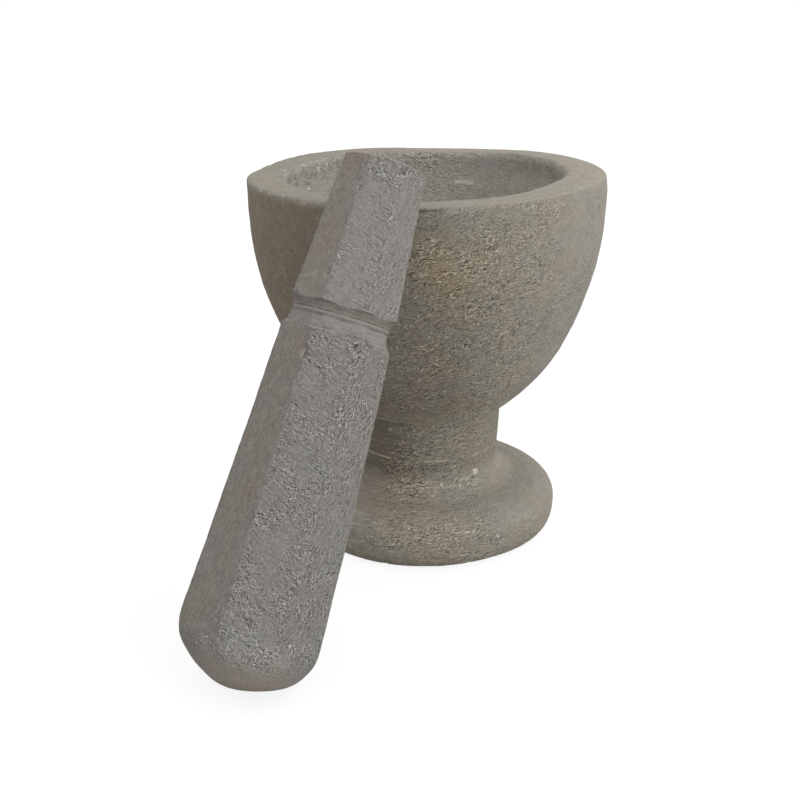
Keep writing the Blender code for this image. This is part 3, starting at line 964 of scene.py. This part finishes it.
def dressing_map(mesh, sizes):
    """A UV map in metres, turned to the tool's stroke on each side of the pestle, and flat on its crown."""
    loops = read_whole(mesh.loops, 'vertex_index')
    totals = read_whole(mesh.polygons, 'loop_total')
    centres = read_vectors(mesh.polygons, 'center')
    side = np.round(np.arctan2(centres[:, 1], centres[:, 0]) / SECTOR).astype(int) % FLATS
    side = np.repeat(side, totals)
    corner = points_of(mesh)[loops]
    facing = side * SECTOR
    across = corner[:, 1] * np.cos(facing) - corner[:, 0] * np.sin(facing)
    turn = np.radians(STROKE_TURNS)[side]
    first = across * np.cos(turn) + corner[:, 2] * np.sin(turn)
    second = corner[:, 2] * np.cos(turn) - across * np.sin(turn) + side * sizes.total * 2.0
    on_top = np.repeat(centres[:, 2] > half_way_up_crown(sizes), totals)
    first = np.where(on_top, corner[:, 0], first)
    second = np.where(on_top, corner[:, 1] - sizes.total, second)
    layer_map = mesh.uv_layers.new(name='dressing')
    layer_map.data.foreach_set('uv', np.stack([first, second], axis=1).astype(np.float32).ravel())


def shape_pestle(mesh, sizes):
    """Cuts the round blank to its eight sides and its groove, and writes where they and the arrises are."""
    points = points_of(mesh)
    height = points[:, 2]
    blank = np.hypot(points[:, 0], points[:, 1])
    angles = np.arctan2(points[:, 1], points[:, 0])
    wear = noise_at(points, 9 * MM, 21.0)
    sharpness = np.clip(120.0 - 80.0 * wear, 45.0, 260.0)
    flats = octagon_radius(sizes, points, sharpness, np.array(SIDE_DRIFT)[None, :] * MM)
    blend = sizes.head_blend * falling(height, sizes.head_rounding - 4 * MM, sizes.head_rounding + 8 * MM)
    left = hump(degrees(1.0) * (angles + radians(115.0)), 60.0)
    grooved = groove_radius(sizes, height, left)
    kept = np.minimum(smooth_least(blank, flats, blend), grooved)
    ratio = kept / np.maximum(blank, WELD)
    shaped = points * np.stack([ratio, ratio, np.ones(len(points))], axis=1)
    worn_tip = np.clip(1.0 - height / sizes.head_rounding, 0.0, 1.0) ** 2
    shaped[:, 0] += sizes.head_drift * worn_tip
    move_points(mesh, shaped)
    off_face = (angles + SECTOR / 2.0) % SECTOR - SECTOR / 2.0
    write_layer(mesh, 'from_arris', (SECTOR / 2.0 - np.abs(off_face)) * kept)
    write_layer(mesh, 'dressed', rising(np.minimum(blank, grooved) - flats, -0.2 * MM, 0.4 * MM))
    write_layer(mesh, 'grooved', rising(flats - grooved, -0.1 * MM, 0.2 * MM))
    write_layer(mesh, 'reach', height)


def dress_pestle(mesh, sizes, turn, place):
    """Tool marks, pits, chipped arrises and tints of the pestle, with painted light and shade in its groove
    and under its head, in its own frame, then its stance.
    """
    surface = Surface(mesh)
    points = surface.points
    layers = ('from_arris', 'dressed', 'grooved', 'reach')
    from_arris, dressed, grooved, height = (read_layer(mesh, name) for name in layers)
    facing = np.degrees(np.arctan2(points[:, 1], points[:, 0]))
    side = np.round(facing / degrees(SECTOR)).astype(int) % FLATS
    above = rising(height, sizes.total - sizes.grip, sizes.total - sizes.grip + 2 * MM)
    chipped = hump(facing + 67.5, 14.0) + 0.8 * hump(np.abs(facing) - 112.5, 14.0)

    waves = noise_at(points, 22 * MM, 31.0) * 0.22 + noise_at(points, 8 * MM, 32.0) * 0.10
    lumps = rough_at(points, 3.0 * MM, 33.0) * 0.06
    surface.out += (waves + lumps) * MM
    roughness = np.array(SIDE_ROUGHNESS)[side] * (1.0 - 0.50 * above)
    coarse = roughness + 0.30 * rough_at(points, 14 * MM, 34.0, 2) * (side != LEFT_SIDE)
    ragged = rising(height, 0.40 * sizes.head_rounding, 0.65 * sizes.head_rounding) * (1.0 - dressed) * 0.6
    ragged *= 1.0 - rising(height, sizes.head_rounding, 1.6 * sizes.head_rounding)
    ragged += 0.4 * (1.0 - dressed) * rising(height, sizes.total - 0.010, sizes.total - 0.004)
    surface.coarse = coarse * dressed + ragged + 0.25 * chipped * hump(from_arris, 2.5 * MM) * dressed
    write_layer(mesh, 'combed', np.array(SIDE_COMBING)[side] * dressed)

    arris = hump(from_arris, 1.1 * MM) * dressed
    broken = np.clip(rough_at(points, 2.4 * MM, 35.0) - 0.05, 0.0, 1.0) * (0.4 + chipped)
    surface.out -= arris * broken * 0.4 * MM
    # Paler along the arrises: chipped stone, with a painted highlight along the unbroken edge
    surface.fresh += arris * np.clip(broken * 1.5 + 0.20, 0.0, 1.0) * 0.6

    rng = np.random.default_rng(23)
    chance = np.clip(surface.coarse, 0.01, 1.0)
    surface.scatter(rng, chance, 700, (0.7, 1.5), (0.08, 0.28), 0.8)
    along_arrises = arris * (0.2 + chance) * (0.3 + chipped) + 0.0001
    surface.scatter(rng, along_arrises, 220, (0.8, 1.9), (0.15, 0.45), 1.0)
    # Painted light under the head; the shank below the groove a little darker
    surface.tint *= (0.94 + 0.06 * above + 0.20 * falling(height, 0.006, 0.014))[:, None]
    surface.shade(
        # Painted shade on the groove's upper band under the grip's step, painted light on its lower band
        (grooved * above, (0.92, 0.88, 0.86)),
        (grooved * (1.0 - above), 1.09),
        (rising(hump(facing + 135.0, 20.0), 0.1, 0.6) * dressed, (1.10, 1.04, 1.01)),
    )
    surface.stand(mesh, turn, place)
    surface.mark(Sight(bpy.data.objects[mesh.name]), PESTLE_MARKS)
    surface.finish(mesh)
    wear_tip(mesh, sizes)


def wear_tip(mesh, sizes):
    """Bends the head a little to the left, wears a soft flat under it, and keeps it on the table."""
    points = points_of(mesh)
    points[:, 0] -= sizes.head_bend * falling(points[:, 2], 0.028, 0.046)
    down = np.array((0.0, -sin(sizes.wear_tilt), -cos(sizes.wear_tilt)))
    reach = points @ down
    kept = smooth_least(reach, reach.max() - sizes.tip_wear, 4.5 * MM)
    points += (kept - reach)[:, None] * down
    points[:, 2] = -smooth_least(-points[:, 2], 0.0, 0.4 * MM)
    move_points(mesh, points)


class OBJECT_OT_stone_stage(bpy.types.Operator):
    """Makes the camera, the lamps, the pale surroundings and the floor"""

    bl_idname = "object.stone_stage"
    bl_label = "Stage"

    def execute(self, context):
        settings = context.scene.stone_stage
        self.add_camera(context, settings)
        self.add_lamps(context, settings)
        self.add_floor(settings)
        context.scene.world = self.make_world(settings)
        context.scene.view_settings.view_transform = 'Standard'
        return {'FINISHED'}

    def add_camera(self, context, settings):
        data = bpy.data.cameras.new("camera")
        data.sensor_width = SENSOR
        data.lens = LENS_IN_PIXELS * SENSOR / PHOTO_SIDE
        camera = bpy.data.objects.new("camera", data)
        context.scene.collection.objects.link(camera)
        pitch = Matrix.Rotation(pi / 2 - settings.camera_pitch, 4, 'X')
        roll = Matrix.Rotation(settings.camera_roll, 4, 'Z')
        place = (settings.camera_side, -settings.camera_back, settings.camera_height)
        camera.matrix_world = Matrix.Translation(place) @ pitch @ roll
        context.scene.camera = camera
        context.view_layer.update()

    def add_lamps(self, context, settings):
        """Square lamps, each placed by its turn from the front to the right and its height, in degrees."""
        lamps = (
            ("key_lamp", settings.key_power, 45.0, 45.0),
            ("low_lamp", settings.low_power, 45.0, 12.0),
            ("back_lamp", settings.back_power, 135.0, 40.0),
        )
        middle = Vector((0.0, 0.0, BOWL_HIGH.z / 2.0))
        for name, energy, side, rise in lamps:
            data = bpy.data.lights.new(name, 'AREA')
            data.energy = energy
            data.size = settings.lamp_size
            side, rise = radians(side), radians(rise)
            towards = Vector((sin(side) * cos(rise), -cos(side) * cos(rise), sin(rise)))
            lamp = bpy.data.objects.new(name, data)
            lamp.location = middle + towards * settings.lamp_reach
            lamp.rotation_euler = towards.to_track_quat('Z', 'Y').to_euler()
            context.scene.collection.objects.link(lamp)

    def seen(self, tree):
        """1 for the camera's own rays, and for those through gloss or glass."""
        path = add_node(tree, 'LightPath')
        kinds = ('Camera', 'Glossy', 'Transmission')
        camera, gloss, glass = (path.outputs[f'Is {kind} Ray'] for kind in kinds)
        either = add_node(tree, 'Math', {0: camera, 1: gloss}, operation='MAXIMUM').outputs[0]
        return add_node(tree, 'Math', {0: either, 1: glass}, operation='MAXIMUM').outputs[0]

    def make_world(self, settings):
        world = bpy.data.worlds.new("pale_world")
        world.use_nodes = True
        tree = world.node_tree
        ground = tree.nodes['Background']
        inputs = {'Value': self.seen(tree), 'To Min': settings.sky, 'To Max': 1.0}
        strength = add_node(tree, 'MapRange', inputs)
        ground.inputs['Color'].default_value = (1.0, 1.0, 1.0, 1.0)
        tree.links.new(strength.outputs[0], ground.inputs['Strength'])
        return world

    def add_floor(self, settings):
        bm = bmesh.new()
        bmesh.ops.create_grid(bm, x_segments=1, y_segments=1, size=4.0)
        floor = link_piece("floor", bm)
        material = bpy.data.materials.new("floor_paper")
        material.use_nodes = True
        tree = material.node_tree
        tree.nodes.remove(tree.nodes['Principled BSDF'])
        depth = settings.shadow_depth
        bounce = settings.floor_bounce
        lit = add_node(tree, 'BsdfDiffuse', {'Color': (depth, depth, depth, 1.0)})
        glow = add_node(tree, 'Emission', {'Color': (1.0, 1.0, 1.0, 1.0), 'Strength': 1.0 - depth * 0.8})
        shown = add_node(tree, 'AddShader', {0: lit.outputs[0], 1: glow.outputs[0]})
        hidden = add_node(tree, 'BsdfDiffuse', {'Color': (bounce, bounce, bounce, 1.0)})
        both = add_node(tree, 'MixShader', {0: self.seen(tree), 1: hidden.outputs[0], 2: shown.outputs[0]})
        tree.links.new(both.outputs[0], tree.nodes['Material Output'].inputs['Surface'])
        floor.data.materials.append(material)


class OBJECT_OT_stone_bowl(bpy.types.Operator):
    """Turns the footed bowl and dresses its surface"""

    bl_idname = "object.stone_bowl"
    bl_label = "Bowl"

    def execute(self, context):
        sizes = context.scene.stone_bowl
        bowl = link_piece("turned_bowl", spin_outline(bowl_outline(sizes), sizes.steps))
        bowl.data.shade_smooth()
        lift_rim(bowl.data, sizes)
        dress_bowl(bowl.data, sizes)
        bowl.data.materials.append(bowl_stone(context.scene.stone_colours, sizes))
        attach(bowl, "bowl")
        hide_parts("grinding_bowl")
        return {'FINISHED'}


class OBJECT_OT_stone_pestle(bpy.types.Operator):
    """Makes the eight-sided pestle and stands it against the rim"""

    bl_idname = "object.stone_pestle"
    bl_label = "Pestle"

    def execute(self, context):
        sizes = context.scene.stone_pestle
        pestle = link_piece("dressed_pestle", spin_outline(pestle_outline(sizes), sizes.steps))
        shape_pestle(pestle.data, sizes)
        dressing_map(pestle.data, sizes)
        pestle.data.shade_smooth()
        turn = np.array(Matrix.Rotation(-sizes.heading, 3, 'Z') @ Matrix.Rotation(-sizes.lean, 3, 'X')
                        @ Matrix.Rotation(sizes.twist, 3, 'Z'))
        place = np.array(PESTLE_HIGH) - (points_of(pestle.data) @ turn.T).max(axis=0)
        dress_pestle(pestle.data, sizes, turn, place)
        pestle.data.materials.append(pestle_stone(context.scene.stone_colours, sizes))
        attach(pestle, "pestle")
        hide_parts("pestle")
        return {'FINISHED'}


class VIEW3D_PT_stone_bowl(bpy.types.Panel):
    """Lists the pieces of the grinding bowl and the stage"""

    bl_label = "Grinding Bowl"
    bl_idname = "VIEW3D_PT_stone_bowl"
    bl_space_type = 'VIEW_3D'
    bl_region_type = 'UI'
    bl_category = "Grinding Bowl"

    def draw(self, context):
        for operator in OPERATORS:
            self.layout.operator(operator.bl_idname)


OPERATORS = (OBJECT_OT_stone_stage, OBJECT_OT_stone_bowl, OBJECT_OT_stone_pestle)
GROUPS = {
    'stone_bowl': BowlSizes,
    'stone_pestle': PestleSizes,
    'stone_colours': StoneColours,
    'stone_stage': StageSettings,
}


def register():
    for name, group in GROUPS.items():
        bpy.utils.register_class(group)
        setattr(bpy.types.Scene, name, bpy.props.PointerProperty(type=group))
    for item in (*OPERATORS, VIEW3D_PT_stone_bowl):
        bpy.utils.register_class(item)


def unregister():
    for item in (VIEW3D_PT_stone_bowl, *reversed(OPERATORS)):
        bpy.utils.unregister_class(item)
    for name, group in reversed(GROUPS.items()):
        delattr(bpy.types.Scene, name)
        bpy.utils.unregister_class(group)


def main():
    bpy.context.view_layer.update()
    register()
    bpy.ops.object.stone_stage()
    bpy.ops.object.stone_bowl()
    bpy.ops.object.stone_pestle()


if __name__ == "__main__":
    main()
